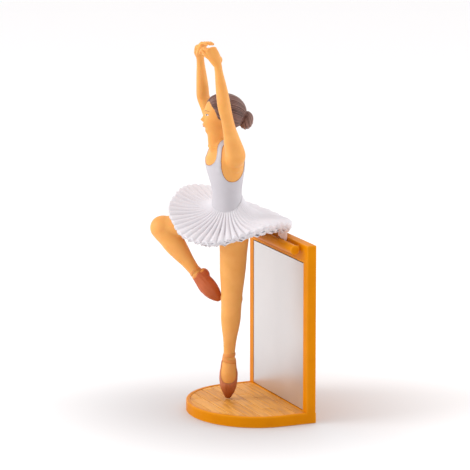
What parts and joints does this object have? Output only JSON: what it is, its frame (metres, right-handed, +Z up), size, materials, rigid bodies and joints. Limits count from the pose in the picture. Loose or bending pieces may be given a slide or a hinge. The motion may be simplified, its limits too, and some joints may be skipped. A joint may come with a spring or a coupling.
{
  "type": "ballerina play figure with mirror stand",
  "caption": "Dancer on pointe in a pleated tutu, arms overhead and one leg raised, on a half-round plank floor with a framed mirror wall and a barre behind.",
  "frame": {"origin": "middle of the floor's plan, on its flat underside", "axes": "+Z up, +X along the mirror towards the dancer's left, +Y from the dancer's front towards the mirror wall; the dancer faces -Y"},
  "size_m": [0.0417, 0.0361, 0.1037],
  "materials": {
    "orange_plastic": "moulded orange plastic, satin, with a painted tan plank field on the floor",
    "mirror_film": "silver film, slightly hazy",
    "painted_skin": "painted figure: warm skin, white leotard, brown hair, brown shoes",
    "white_paint": "matt white paint over moulded pleats",
    "plank_paint": "tan wood-effect paint on moulded planks",
    "hair_paint": "dark brown satin paint over moulded strands",
    "shoe_paint": "reddish brown satin paint"
  },
  "bodies": {
    "root": {"stand": "orange_plastic", "mirror": "mirror_film", "dancer": "painted_skin", "tutu": "white_paint"}
  },
  "joints": []
}
